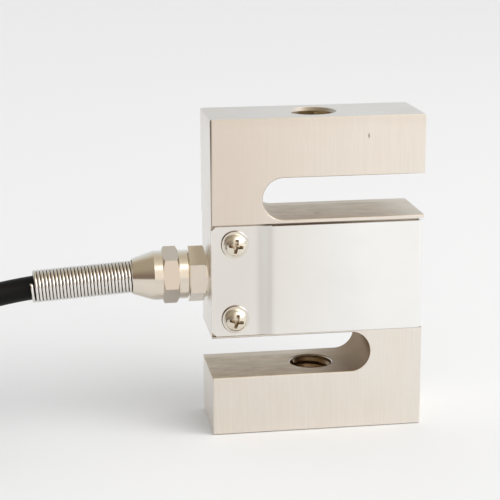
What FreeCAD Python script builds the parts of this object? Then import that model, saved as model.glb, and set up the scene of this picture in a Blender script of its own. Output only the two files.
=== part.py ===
# S type load cell with a wrapped cover, a cable gland, a spring strain relief and a tied lead.
# Millimetres, +Z up. The origin is where the axis of the lower threaded hole meets the bottom
# face. X runs across the slots (the gland is at -X) and Y runs through the depth.
import FreeCAD, Part
import math
import os
from FreeCAD import Placement, Rotation, Vector

# --- The spring element -------------------------------------------------------------------
WIDTH = 50.8
HEIGHT = 76.2
DEPTH = 19.05
LOWER_ARM = 14.24               # height of each arm
UPPER_ARM = 14.0
LOWER_SLOT = 9.84               # height of each slot, and the diameter of its round blind end
UPPER_SLOT = 10.0
LOWER_WALL = 12.7               # metal left between a slot's blind end and the side face
UPPER_WALL = 12.15
EDGE = 0.22                     # chamfer on the outer edges
DEBURR = 0.15                   # chamfer round the slots
MID_LOW = LOWER_ARM + LOWER_SLOT    # the middle block lies between the slots
MID_HIGH = HEIGHT - UPPER_ARM - UPPER_SLOT

# --- Threads --------------------------------------------------------------------------------
THREAD_R = 5.1                  # M12 x 1.75, at the crests of its thread
SINK = 0.83                     # depth of the 90 degree countersink in an arm's outer face
SLOT_SINK = 0.35                # and of the one in its slot face
SCREW_R = 1.25                  # M3 cover screws
THREAD_FIT = 0.02               # radial clearance of a screwed joint
GLAND_THREAD_R = 3.5            # M8 stub of the gland

# --- The recess round the middle block and the cover in it --------------------------------
RECESS = 1.25                   # depth at front and back
END_RECESS = 1.3                # depth at the end face
RECESS_LOW = MID_LOW + 0.35     # a narrow strip of the block is left below and above it
RECESS_HIGH = MID_HIGH - 0.75
COVER = 0.9                     # sheet thickness
COVER_FIT = 0.05                # the cover sits this far above the recess's lower edge
COVER_GAP = 0.45                # and this far below its upper edge
COVER_TRIM = 0.2                # the free stretch is lower than the clamped ends by this
COVER_IN = 0.05                 # the clamped ends stop this far inside the side face
COVER_BEND = 1.4                # outer bend radius at the end face
CORNER_CUT = 1.0                # 45 degree cuts at the clamped corners

# --- Cover screws and washers ----------------------------------------------------------------
SIDE = -WIDTH / 2               # the side face that the cover's screws and the gland are near
SCREW_X = SIDE + 5.58
SCREW_INSETS = (4.22, 4.7)      # of the lower and the upper screws, from the recess's edges
HEAD_R = 2.73
HEAD = 2.2
HEAD_CROWN = 4.4                # radius of the pan head's crown
HEAD_ROUND = 1.6                # and of its shoulder
WASHER_R = 3.3
WASHER_HOLE_R = 1.6
WASHER = 0.5
SHANK = 5.0
CROSS = 3.9                     # span of the cross recess, level with the top of the crown
CROSS_WING = 0.85
CROSS_DEEP = 1.35
CROSS_TURNS = (-12.5, -9.0, 33.0, 7.0)   # degrees, as the four screws happened to stop
JOG_START = SCREW_X + 5.42      # past the washers the sheet steps outward and stands clear
JOG_END = JOG_START + 3.3

# --- The gauge window inside the middle block -----------------------------------------------
WINDOW_R = 8.0
WINDOW_OUT = 9.0                # each of its two bores is this far from the middle
WEB_HALF = 5.0                  # half height of the passage that joins them
MIDDLE = HEIGHT / 2
POTTING = 3.0
GAUGE_LONG = 4.5
GAUGE_WIDE = 6.0
GAUGE = 0.25
BOARD = 1.0
BOARD_WIDE = 5.2
BOARD_GAP = 0.78                # from its ends to the potting
LEAD_R = 0.45

# --- The gland ---------------------------------------------------------------------------------
CABLE_END = -WINDOW_OUT - WINDOW_R + 0.9
GLAND_Z = MIDDLE - 0.35
HEX = 11.8                      # across the flats
HEX_TRIM_R = 6.45               # the body's hexagon is turned down to this at its seat
HEX_TURN = 31.0                 # degrees, of the gland body's hexagon
CAP_TURN = 43.0                 # and of the cap nut's
STUB = 6.5
SEAT_R = 5.65
SEAT = 0.8
BODY_HEX = 3.7
JOINT_GAP = 0.2                 # between the two hexagons' shoulders
SKIRT = 2.3
SKIRT_R = 5.85
CAP_HEX = 3.9
BAND = 2.05
BAND_R = 5.92
CONE = 5.05
MOUTH_R = 4.25
CABLE_R = 2.8
GLAND_BORE_R = 2.95
INNER_THREAD_R = 4.55
GRIP_FIT = 0.01
GRIP = 2.6                      # length of the rubber sleeve that grips the cable
SLIP = 0.6                      # thickness of the slip washer behind it

# --- Spring strain relief ----------------------------------------------------------------------
COIL_R = 3.45                   # to the middle of the wire
WIRE_R = 0.4
PITCH = 0.812
TURNS = 29.35
SEAT_DEEP = 1.0                 # the first turn sits this deep in the cap
SPRING_FIT = 0.12               # radial clearance of that seat
DROOP = 3.1                     # degrees

# --- The lead --------------------------------------------------------------------------------------
CABLE = 2 * CABLE_R
LAYERS = 6                      # turns of the hank on each other, in two columns on each side
TOP_TURN = (LAYERS - 0.5) * CABLE
ROUTE = [                       # the free lead, from inside the spring to its hank's top turn
    (-48.0, 0.0, GLAND_Z - 0.31),
    (-60.5, 0.0, GLAND_Z - 0.99),
    (-73.5, -0.2, GLAND_Z - 1.9),
    (-85.0, -4.0, GLAND_Z - 3.4),
    (-96.0, -11.3, TOP_TURN + 1.3),
    (-107.5, -18.2, TOP_TURN + 0.1),
]
HANK_X = -153.2                 # middle of the hank
LOOP_OUT = 28.7                 # from there to the middle of each end loop
LOOP_R = 25.5                   # outside radius of an end loop
ENTRY = 75.0                    # degrees round the near loop to where the lead joins it
WAIST = 4.0 * CABLE_R           # half width where the tie draws the two sides together
TIE = 1.2                       # thickness of the cable tie
TIE_WIDE = 3.6
TIE_BEND = 1.0                  # radius of the strap's inside corners
TIE_HEAD = (6.0, 5.2, 3.6)      # along the hank, across it, and high
TIE_HEAD_IN = 0.4               # the head sits this far in from the strap's side
TIE_TAIL = 3.0                  # the strap's cut end stands this far out of the head
HANK_ROUND = 1.2                # fillet of the hank's rims
HANK_TOP = LAYERS * CABLE + TIE
POCKET_Z = (LAYERS - 1) * CABLE # the cores lie on the inner column of turns, one turn lower
POCKET_X = -174.0               # the jacket ends here
POCKET_R = LOOP_R - CABLE - 0.4
CORE_R = 0.65
WIRE_END_R = 0.3
BARE = 5.0
CORE_RING = 1.45                # the cores leave the jacket in a ring of this radius
CORE_SPREAD = (-1.0, -2.0, 0.0, 2.0, 1.0)
CORE_RUNS = (6.0, 13.5, 21.0)   # from the jacket's end to a core's bends and to its tip
CORE_FANS = (2.6, 4.2)          # sideways at the last two of these, for each unit of spread
CORE_NAMES = ("core_red", "core_black", "drain_wire", "core_green", "core_white")


def box(x0, x1, y0, y1, z0, z1):
    return Part.makeBox(x1 - x0, y1 - y0, z1 - z0, Vector(x0, y0, z0))


def rod(start, way, length, radius):
    return Part.makeCylinder(radius, length, Vector(*start), Vector(*way))


def rod_y(radius, x, z, y0=-DEPTH, y1=DEPTH):
    return rod((x, y0, z), (0, 1, 0), y1 - y0, radius)


def turned(profile, z=GLAND_Z):
    """A ring or plug turned about the gland's axis, from (x, radius) corners."""
    wire = Part.makePolygon([Vector(x, 0, z + r) for x, r in profile + profile[:1]])
    return Part.Face(wire).revolve(Vector(0, 0, z), Vector(1, 0, 0), 360)


def ring_x(outer, inner, x0, x1):
    return turned([(x0, inner), (x0, outer), (x1, outer), (x1, inner)])


def solid(shape):
    """The one solid of a result, with the seams between its coplanar faces removed."""
    clean = shape.removeSplitter()
    if len(clean.Solids) != 1:
        raise ValueError("expected one solid, found %d" % len(clean.Solids))
    return clean.Solids[0]


# --- Spring element ----------------------------------------------------------------------------

def slot(open_side, low, high, wall):
    """A slot that opens at one side (+1 or -1) and ends in a full round."""
    end_r = (high - low) / 2
    blind = -open_side * (WIDTH / 2 - wall - end_r)
    far = open_side * WIDTH
    straight = box(min(blind, far), max(blind, far), -DEPTH, DEPTH, low, high)
    return straight.fuse(rod_y(end_r, blind, low + end_r))


def threaded_hole(low, high, low_sink, high_sink):
    """The core hole of a thread through one arm, with a countersink at each mouth."""
    hole = rod((0, 0, low - 1), (0, 0, 1), high - low + 2, THREAD_R)
    sinks = [
        Part.makeCone(THREAD_R + sink, THREAD_R, sink, Vector(0, 0, z), Vector(0, 0, inward))
        for z, inward, sink in ((low, 1, low_sink), (high, -1, high_sink))
    ]
    return hole.fuse(sinks)


def window(y0, y1):
    """Two bores joined by a lower passage, which leave thin walls over the gauges."""
    bores = [rod_y(WINDOW_R, side * WINDOW_OUT, MIDDLE, y0, y1) for side in (-1, 1)]
    web = box(-WINDOW_OUT, WINDOW_OUT, y0, y1, MIDDLE - WEB_HALF, MIDDLE + WEB_HALF)
    return solid(web.fuse(bores))


def cover_recess():
    """Milled round the front, the end and the back of the middle block."""
    half = DEPTH / 2
    tools = [
        box(-WIDTH, WIDTH, side * half - RECESS, side * half + RECESS, RECESS_LOW, RECESS_HIGH)
        for side in (-1, 1)
    ]
    end = WIDTH / 2 - END_RECESS
    return tools + [box(end, WIDTH, -DEPTH, DEPTH, RECESS_LOW, RECESS_HIGH)]


def screw_heights():
    return (RECESS_LOW + SCREW_INSETS[0], RECESS_HIGH - SCREW_INSETS[1])


def screw_places():
    """Side of the body (-1 is the front), height and cross turn of each cover screw."""
    places = [(side, z) for side in (-1, 1) for z in screw_heights()]
    return [(side, z, turn) for (side, z), turn in zip(places, CROSS_TURNS)]


def on_slot_rim(edge):
    """Whether an edge runs round a slot on the front or back face."""
    b = edge.BoundBox
    flat = b.YLength < 1e-6 and abs(abs(b.YMin) - DEPTH / 2) < 1e-6
    in_lower = b.ZMin > LOWER_ARM - 1e-3 and b.ZMax < MID_LOW + 1e-3
    in_upper = b.ZMin > MID_HIGH - 1e-3 and b.ZMax < HEIGHT - UPPER_ARM + 1e-3
    return flat and (in_lower or in_upper)


def spring_element():
    block = box(SIDE, -SIDE, -DEPTH / 2, DEPTH / 2, 0, HEIGHT)
    block = block.makeChamfer(EDGE, block.Edges)
    lower = slot(-1, LOWER_ARM, MID_LOW, LOWER_WALL)
    upper = slot(1, MID_HIGH, HEIGHT - UPPER_ARM, UPPER_WALL)
    block = block.cut([lower, upper])
    block = block.makeChamfer(DEBURR, [e for e in block.Edges if on_slot_rim(e)])
    threads = [
        threaded_hole(0, LOWER_ARM, SINK, SLOT_SINK),
        threaded_hole(HEIGHT - UPPER_ARM, HEIGHT, SLOT_SINK, SINK),
    ]
    block = block.cut(threads)
    block = block.cut(cover_recess() + [window(-DEPTH, DEPTH)])
    entry = [
        rod((SIDE - 1, 0, GLAND_Z), (1, 0, 0), STUB + 2, GLAND_THREAD_R),
        rod((SIDE - 1, 0, GLAND_Z), (1, 0, 0), -SIDE - WINDOW_OUT, CABLE_R),
    ]
    floor = DEPTH / 2 - RECESS
    taps = [
        rod((SCREW_X, side * DEPTH, z), (0, -side, 0), DEPTH - floor + SHANK + 0.5, SCREW_R)
        for side, z, turn in screw_places()
    ]
    return solid(block.cut(entry + taps))


# --- Cover -----------------------------------------------------------------------------------------

def cover_line(inset):
    """One face of the sheet in plan, from the front clamped end round to the back one."""
    seat = DEPTH / 2 - RECESS + COVER - inset
    free = DEPTH / 2 - inset
    bend = COVER_BEND - inset
    end = WIDTH / 2 - inset
    half = 0.5 * (JOG_START + JOG_END)
    rise = free - seat
    # two equal arcs make the step: a quarter of the way along it has an eighth of the rise
    quarter = 0.25 * (JOG_END - JOG_START)
    low, high = seat + rise / 8, free - rise / 8
    slant = bend * (1 - math.sqrt(0.5))
    start = SIDE + COVER_IN

    def side(sign):
        def at(x, y):
            return Vector(x, sign * y, 0)
        return [
            Part.LineSegment(at(start, seat), at(JOG_START, seat)),
            Part.Arc(at(JOG_START, seat), at(JOG_START + quarter, low), at(half, seat + rise / 2)),
            Part.Arc(at(half, seat + rise / 2), at(JOG_END - quarter, high), at(JOG_END, free)),
            Part.LineSegment(at(JOG_END, free), at(end - bend, free)),
            Part.Arc(at(end - bend, free), at(end - slant, free - slant), at(end, free - bend)),
        ]

    end_face = Part.LineSegment(Vector(end, bend - free, 0), Vector(end, free - bend, 0))
    edges = side(-1) + [end_face] + side(1)
    ends = [Vector(start, -seat, 0), Vector(start, seat, 0)]
    return [e.toShape() for e in edges], ends


def wrap_cover():
    outer, outer_ends = cover_line(0)
    inner, inner_ends = cover_line(COVER)
    lips = [Part.LineSegment(a, b).toShape() for a, b in zip(outer_ends, inner_ends)]
    plan = Part.Wire(Part.__sortEdges__(outer + inner + lips))
    low, high = RECESS_LOW + COVER_FIT, RECESS_HIGH - COVER_GAP
    sheet = Part.Face(plan).extrude(Vector(0, 0, high - low))
    sheet.translate(Vector(0, 0, low))
    trims = [box(JOG_END, WIDTH, -DEPTH, DEPTH, high - COVER_TRIM, high + 1)]
    start = SIDE + COVER_IN
    for z, inward in ((low, 1), (high, -1)):
        corner = Part.makePolygon([
            Vector(start, -DEPTH, z),
            Vector(start + CORNER_CUT, -DEPTH, z),
            Vector(start, -DEPTH, z + inward * CORNER_CUT),
            Vector(start, -DEPTH, z),
        ])
        trims.append(Part.Face(corner).extrude(Vector(0, 2 * DEPTH, 0)))
    holes = [rod_y(WASHER_HOLE_R, SCREW_X, z) for z in screw_heights()]
    return solid(sheet.cut(trims + holes))


def cross_recess(turn):
    """Two tapering wings and a pointed middle, sunk in the top of a head that faces +Z."""
    def wing(half, wide, z):
        return Part.makePolygon([
            Vector(-half, -wide, z), Vector(half, -wide, z), Vector(half, wide, z),
            Vector(-half, wide, z), Vector(-half, -wide, z),
        ])
    top = HEAD + 0.01
    wings = Part.makeLoft(
        [wing(CROSS / 2, CROSS_WING / 2, top), wing(CROSS / 4, CROSS_WING / 4, top - CROSS_DEEP)],
        True,
    )
    other = wings.copy()
    other.rotate(Vector(0, 0, 0), Vector(0, 0, 1), 90)
    point = Part.makeCone(0.3, 0.75, CROSS_DEEP, Vector(0, 0, top - CROSS_DEEP))
    cross = wings.fuse([other, point])
    cross.rotate(Vector(0, 0, 0), Vector(0, 0, 1), turn)
    return cross


def pan_screw(turn):
    """A cross recess pan head screw that stands along +Z, its head's seat at the origin."""
    # the shoulder's arc is tangent to the crown's arc and to the head's straight side
    crown = Vector(0, 0, HEAD - HEAD_CROWN)
    out = HEAD_R - HEAD_ROUND
    lean = math.asin(out / (HEAD_CROWN - HEAD_ROUND))
    shoulder = crown + Vector(out, 0, (HEAD_CROWN - HEAD_ROUND) * math.cos(lean))

    def arc(middle, radius, start, end):
        """Between two angles from the screw's axis."""
        turns = (start, (start + end) / 2, end)
        points = [middle + Vector(radius * math.sin(a), 0, radius * math.cos(a)) for a in turns]
        return Part.Arc(*points).toShape()

    seat, side = Vector(HEAD_R, 0, 0), Vector(HEAD_R, 0, shoulder.z)
    half = Part.Wire([
        Part.LineSegment(Vector(0, 0, 0), seat).toShape(),
        Part.LineSegment(seat, side).toShape(),
        arc(shoulder, HEAD_ROUND, math.pi / 2, lean),
        arc(crown, HEAD_CROWN, lean, 0),
        Part.LineSegment(Vector(0, 0, HEAD), Vector(0, 0, 0)).toShape(),
    ])
    head = Part.Face(half).revolve(Vector(0, 0, 0), Vector(0, 0, 1), 360)
    length = SHANK + WASHER + COVER
    shank = rod((0, 0, -length), (0, 0, 1), length, SCREW_R - THREAD_FIT)
    tip = Part.makeCone(0.8, SCREW_R - THREAD_FIT, 0.5, Vector(0, 0, -length - 0.5))
    return solid(head.fuse([shank, tip]).cut(cross_recess(turn)))


def washer():
    disc = rod((0, 0, -WASHER), (0, 0, 1), WASHER, WASHER_R)
    rim = [e for e in disc.Edges if abs(e.BoundBox.ZMin) < 1e-6 and e.BoundBox.ZLength < 1e-6]
    disc = disc.makeChamfer(0.12, rim)
    return solid(disc.cut(rod((0, 0, -1), (0, 0, 1), 2, WASHER_HOLE_R)))


def on_cover(shape, side, z):
    """Turns a fastener that faces +Z to face out of the body, its seat on the washer."""
    out = Placement(Vector(0, 0, 0), Rotation(Vector(1, 0, 0), -90 * side))
    face = DEPTH / 2 - RECESS + COVER + WASHER
    place = Placement(Vector(SCREW_X, side * face, z), Rotation())
    shape.Placement = place.multiply(out).multiply(shape.Placement)
    return shape


# --- Inside the window -------------------------------------------------------------------------

def gauge(side, rise):
    """A foil strain gauge bonded to the crown of one bore of the window."""
    x = side * WINDOW_OUT
    shell = rod_y(WINDOW_R, x, MIDDLE).cut(rod_y(WINDOW_R - GAUGE, x, MIDDLE))
    near, far = MIDDLE + rise * WEB_HALF, MIDDLE + rise * (WINDOW_R + 1)
    patch = box(
        x - GAUGE_LONG / 2, x + GAUGE_LONG / 2, -GAUGE_WIDE / 2, GAUGE_WIDE / 2,
        min(near, far), max(near, far),
    )
    return solid(shell.common(patch))


def terminal_board():
    low = MIDDLE - WEB_HALF
    end = DEPTH / 2 - RECESS - POTTING - BOARD_GAP
    return box(-BOARD_WIDE / 2, BOARD_WIDE / 2, -end, end, low, low + BOARD)


def potting(side):
    """Silicone that closes one mouth of the window."""
    floor = DEPTH / 2 - RECESS
    outer, inner = side * floor, side * (floor - POTTING)
    return window(min(outer, inner), max(outer, inner))


def bent_path(points, share=0.45):
    """Straight runs joined by tangent arcs, each as large as its two runs allow."""
    points = [Vector(*p) for p in points]
    edges, radii = [], []
    at = points[0]
    for before, corner, after in zip(points, points[1:], points[2:]):
        a, b = before - corner, after - corner
        turn = math.pi - a.getAngle(b)
        cut = share * min(a.Length, b.Length)
        radii.append(cut / math.tan(turn / 2))
        first = corner + a.normalize() * cut
        last = corner + b.normalize() * cut
        inward = (a + b).normalize()
        middle = corner + inward * (radii[-1] * (1 / math.cos(turn / 2) - 1))
        edges.append(Part.LineSegment(at, first).toShape())
        edges.append(Part.Arc(first, middle, last).toShape())
        at = last
    edges.append(Part.LineSegment(at, points[-1]).toShape())
    return Part.Wire(edges), radii


def tube(points, radius):
    """A round rod along a path of runs and arcs, with the smallest radius of its bends."""
    path, radii = bent_path(points)
    way = Vector(*points[1]) - Vector(*points[0])
    circle = Part.Wire([Part.makeCircle(radius, Vector(*points[0]), way)])
    rod_shape = path.makePipeShell([circle], True, True)
    expected = math.pi * radius ** 2 * path.Length
    if abs(rod_shape.Volume / expected - 1) > 0.01:
        raise ValueError("a swept rod lost volume")
    return rod_shape, radii, path.Length


def core_lead(index):
    """One core from the cable's end in the window down to the terminal board."""
    across = (index - 1.5) * 1.3
    pad_x = -BOARD_WIDE / 2 + 0.9 + 0.9 * (index % 2)
    top = MIDDLE - WEB_HALF + BOARD
    points = [
        (CABLE_END, across, GLAND_Z),
        (CABLE_END + 6.0, across, GLAND_Z),
        (pad_x, 1.6 * across, top + 3.2),
        (pad_x, 1.6 * across, top),
    ]
    return tube(points, LEAD_R / 2)[0]


# --- Gland -----------------------------------------------------------------------------------------

def hexagon(x0, x1, turn, low_r, high_r):
    """A hexagon along X between two planes, each end turned down to a radius if it has one."""
    corner = HEX / math.sqrt(3)
    ring = []
    for k in range(7):
        a = math.radians(turn + 60 * k)
        ring.append(Vector(x0, -corner * math.cos(a), GLAND_Z + corner * math.sin(a)))
    prism = Part.Face(Part.makePolygon(ring)).extrude(Vector(x1 - x0, 0, 0))
    wide = corner + 0.05
    slope = math.tan(math.radians(30))
    profile = [(x0, 0), (x0, low_r or wide)]
    if low_r:
        profile.append((x0 + (wide - low_r) * slope, wide))
    if high_r:
        profile.append((x1 - (wide - high_r) * slope, wide))
    profile += [(x1, high_r or wide), (x1, 0)]
    return prism.common(turned(profile))


def gland_places():
    """The planes along X that the gland's pieces share, from the body outward."""
    seat = SIDE - SEAT
    shoulder = seat - BODY_HEX
    skirt = shoulder - JOINT_GAP
    cap_hex = skirt - SKIRT
    band = cap_hex - CAP_HEX
    cone = band - BAND
    mouth = cone - CONE
    return seat, shoulder, skirt, cap_hex, band, cone, mouth


SEAT_X, SHOULDER_X, SKIRT_X, CAP_HEX_X, BAND_X, CONE_X, MOUTH_X = gland_places()
THREAD_END = CAP_HEX_X - 2.0    # end of the gland body's outer thread, inside the cap
GRIP_END = THREAD_END - GRIP
CAP_SHOULDER = GRIP_END - SLIP  # the cap's inner shoulder presses the slip washer


def gland_seat():
    return ring_x(SEAT_R, GLAND_THREAD_R + 0.1, SEAT_X, SIDE)


def gland_body():
    nut = hexagon(SHOULDER_X, SEAT_X, HEX_TURN, None, HEX_TRIM_R)
    stub = rod((SEAT_X, 0, GLAND_Z), (1, 0, 0), SEAT + STUB, GLAND_THREAD_R - THREAD_FIT)
    outer = rod((THREAD_END, 0, GLAND_Z), (1, 0, 0), SHOULDER_X - THREAD_END, INNER_THREAD_R)
    bore = rod((THREAD_END, 0, GLAND_Z), (1, 0, 0), SIDE + STUB - THREAD_END, GLAND_BORE_R)
    return solid(nut.fuse([stub, outer]).cut(bore))


def grip_sleeve():
    return ring_x(INNER_THREAD_R, CABLE_R + GRIP_FIT, GRIP_END, THREAD_END)


def slip_washer():
    return ring_x(INNER_THREAD_R, GLAND_BORE_R, CAP_SHOULDER, GRIP_END)


def gland_cap():
    inner = INNER_THREAD_R + THREAD_FIT
    seat_r = COIL_R + WIRE_R + SPRING_FIT
    profile = [
        (SKIRT_X, inner), (SKIRT_X, SKIRT_R - 0.25), (SKIRT_X - 0.25, SKIRT_R),
        (BAND_X, SKIRT_R), (BAND_X, BAND_R), (CONE_X, BAND_R), (MOUTH_X, MOUTH_R),
        (MOUTH_X, seat_r), (MOUTH_X + SEAT_DEEP, seat_r), (MOUTH_X + SEAT_DEEP, GLAND_BORE_R),
        (CAP_SHOULDER, GLAND_BORE_R), (CAP_SHOULDER, inner),
    ]
    hole = rod((CAP_SHOULDER, 0, GLAND_Z), (1, 0, 0), SKIRT_X - CAP_SHOULDER + 1, inner)
    nut = hexagon(BAND_X, CAP_HEX_X, CAP_TURN, HEX / 2, HEX / 2).cut(hole)
    return solid(turned(profile).fuse(nut))


def droop(shape):
    """Places a shape made along +Z so that it leaves the gland's mouth and droops."""
    turn = Rotation(Vector(0, 1, 0), -90 - DROOP)
    place = Placement(Vector(MOUTH_X + SEAT_DEEP, 0, GLAND_Z + 0.03), turn)
    shape.Placement = place.multiply(shape.Placement)
    return shape


def spring_relief():
    """A close wound spring whose last turn ends at the front."""
    helix = Part.makeHelix(PITCH, PITCH * TURNS, COIL_R)
    start = helix.Vertexes[0].Point
    lead = math.atan2(PITCH, 2 * math.pi * COIL_R)
    way = Vector(0, math.cos(lead), math.sin(lead))
    circle = Part.Wire([Part.makeCircle(WIRE_R, start, way)])
    coil = Part.Wire(helix.Edges).makePipeShell([circle], True, True)
    lift = (COIL_R + WIRE_R) * math.sin(math.radians(DROOP))
    coil.translate(Vector(0, 0, WIRE_R + lift + 0.02))
    coil.rotate(Vector(0, 0, 0), Vector(0, 0, 1), -180)
    return droop(coil)


def inner_cable():
    """The jacketed cable from the window through the gland and into the spring."""
    (x0, _, z0), (x1, _, z1) = ROUTE[:2]
    bend = x0 + (GLAND_Z - z0) * (x1 - x0) / (z1 - z0)
    points = [(CABLE_END, 0, GLAND_Z), (bend, 0, GLAND_Z), ROUTE[0]]
    return tube(points, CABLE_R)[0]


# --- The free lead ---------------------------------------------------------------------------------

def loop_tangent(side, up):
    """Where an end loop of the hank's outline meets its waist, and the waist's radius."""
    waist_r = (LOOP_OUT ** 2 + WAIST ** 2 - LOOP_R ** 2) / (2 * (LOOP_R - WAIST))
    share = LOOP_R / (LOOP_R + waist_r)
    return Vector(HANK_X + side * LOOP_OUT * (1 - share), up * (WAIST + waist_r) * share, 0)


def hank_outline():
    edges = []
    for side in (-1, 1):
        tip = Vector(HANK_X + side * (LOOP_OUT + LOOP_R), 0, 0)
        edges.append(Part.Arc(loop_tangent(side, -1), tip, loop_tangent(side, 1)).toShape())
    for up in (-1, 1):
        waist = Vector(HANK_X, up * WAIST, 0)
        edges.append(Part.Arc(loop_tangent(-1, up), waist, loop_tangent(1, up)).toShape())
    return Part.Wire(Part.__sortEdges__(edges))


def tie_ring():
    """The strap round the hank's waist."""
    x0, x1 = HANK_X - TIE_WIDE / 2, HANK_X + TIE_WIDE / 2
    outer = box(x0, x1, -WAIST - TIE, WAIST + TIE, 0, HANK_TOP + TIE)
    along = [e for e in outer.Edges if e.BoundBox.XLength > TIE_WIDE / 2]
    outer = outer.makeFillet(TIE_BEND + TIE, along)
    inner = box(x0, x1, -WAIST, WAIST, TIE, HANK_TOP)
    along = [e for e in inner.Edges if e.BoundBox.XLength > TIE_WIDE / 2]
    return outer.cut(inner.makeFillet(TIE_BEND, along))


def hank_tie():
    """The strap, its square head and the cut end that stands out of the head."""
    along, across, high = TIE_HEAD
    top = HANK_TOP + TIE
    near = TIE_HEAD_IN - WAIST
    slot_z = top + (high - TIE) / 2 + 0.1
    head = box(HANK_X - along / 2, HANK_X + along / 2, near, near + across, top, top + high)
    x0, x1 = HANK_X - TIE_WIDE / 2, HANK_X + TIE_WIDE / 2
    end = box(x0, x1, near - TIE_TAIL, near, slot_z, slot_z + TIE)
    return solid(tie_ring().fuse([head, end]))


def cable_hank():
    """The outer shape of the hank: a flat figure with two round loops and a tied waist."""
    block = Part.Face(hank_outline()).extrude(Vector(0, 0, HANK_TOP))
    rims = [e for e in block.Edges if e.BoundBox.ZLength < 1e-6]
    block = block.makeFillet(HANK_ROUND, rims)
    loop_x = HANK_X - LOOP_OUT
    pocket = rod((loop_x, 0, POCKET_Z), (0, 0, 1), HANK_TOP - POCKET_Z, POCKET_R)
    pocket = pocket.common(box(loop_x - LOOP_R, POCKET_X, -LOOP_R, LOOP_R, 0, HANK_TOP))
    return solid(block.cut([pocket, tie_ring()]))


def cable_lead(hank):
    """The free lead, which ends just inside the hank's outline, beside its near loop."""
    turn = math.radians(ENTRY)
    middle_r = LOOP_R - CABLE_R - 0.05
    loop_x = HANK_X + LOOP_OUT
    end = (loop_x + middle_r * math.cos(turn), -middle_r * math.sin(turn), TOP_TURN)
    shape, radii, length = tube(ROUTE + [end], CABLE_R)
    print("lead: bend radii", [round(r) for r in radii], "length", round(length, 1))
    return solid(shape.cut(hank))


def core(place):
    """A core that leaves the jacket's end and comes to rest on the turns, its tip bare."""
    turn = math.radians(72 * (place - 2))
    side = CORE_RING * math.sin(turn)
    rise = POCKET_Z + CABLE_R + CORE_RING * math.cos(turn)
    spread = CORE_SPREAD[place]
    radius = CORE_R if place != 2 else 0.5
    rest = POCKET_Z + radius + 0.06
    bends = [POCKET_X - run for run in CORE_RUNS]
    points = [
        (POCKET_X, side, rise),
        (bends[0], side, rise),
        (bends[1], side + CORE_FANS[0] * spread, rest + 0.5),
        (bends[2], side + CORE_FANS[1] * spread, rest),
    ]
    body = tube(points, radius)[0]
    way = (Vector(*points[-1]) - Vector(*points[-2])).normalize()
    tip = Part.makeCylinder(WIRE_END_R, BARE / 2, Vector(*points[-1]), way)
    return solid(body.fuse(tip))


# --- Assembly --------------------------------------------------------------------------------------

def parts():
    made = {"spring_element": spring_element(), "wrap_cover": wrap_cover()}
    for number, (side, z, turn) in enumerate(screw_places(), start=1):
        made["cover_screw_%d" % number] = on_cover(pan_screw(turn), side, z)
        made["cover_washer_%d" % number] = on_cover(washer(), side, z)
    corners = [(side, rise) for side in (-1, 1) for rise in (-1, 1)]
    for number, (side, rise) in enumerate(corners, start=1):
        made["strain_gauge_%d" % number] = gauge(side, rise)
    made["terminal_board"] = terminal_board()
    made["front_potting"] = potting(-1)
    made["back_potting"] = potting(1)
    for index in range(4):
        made["core_lead_%d" % (index + 1)] = core_lead(index)
    made["gland_seat"] = gland_seat()
    made["gland_body"] = gland_body()
    made["grip_sleeve"] = grip_sleeve()
    made["slip_washer"] = slip_washer()
    made["gland_cap"] = gland_cap()
    made["spring_relief"] = spring_relief()
    made["inner_cable"] = inner_cable()
    made["cable_hank"] = cable_hank()
    made["cable_lead"] = cable_lead(made["cable_hank"])
    made["hank_tie"] = hank_tie()
    for place, name in enumerate(CORE_NAMES):
        made[name] = core(place)
    return made


os.makedirs("parts", exist_ok=True)
for name, shape in parts().items():
    if not shape.isValid():
        print("not valid:", name)
    shape.exportStep("parts/%s.step" % name)
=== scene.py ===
"""An S type load cell: its block, wrapped cover, gland, spring relief and hanked lead."""
import math
import bpy
import bmesh
from mathutils import Matrix, Vector


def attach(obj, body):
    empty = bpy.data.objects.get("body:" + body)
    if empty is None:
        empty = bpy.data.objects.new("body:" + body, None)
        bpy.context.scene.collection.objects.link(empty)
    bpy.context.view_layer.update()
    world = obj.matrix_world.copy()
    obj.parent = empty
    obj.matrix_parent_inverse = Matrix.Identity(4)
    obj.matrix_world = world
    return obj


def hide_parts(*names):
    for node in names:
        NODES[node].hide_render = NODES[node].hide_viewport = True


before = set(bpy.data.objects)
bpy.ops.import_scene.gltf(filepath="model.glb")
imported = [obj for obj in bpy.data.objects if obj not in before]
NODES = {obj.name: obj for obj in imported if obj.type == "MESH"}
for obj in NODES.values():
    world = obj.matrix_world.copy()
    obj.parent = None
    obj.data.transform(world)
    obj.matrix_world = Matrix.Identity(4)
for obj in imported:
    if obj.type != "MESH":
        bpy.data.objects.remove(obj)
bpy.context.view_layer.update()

SCENE = bpy.context.scene
SCENE.view_settings.view_transform = "Standard"
MM = 0.001


# --- Places on the block, in metres ---------------------------------------------------------------

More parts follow.
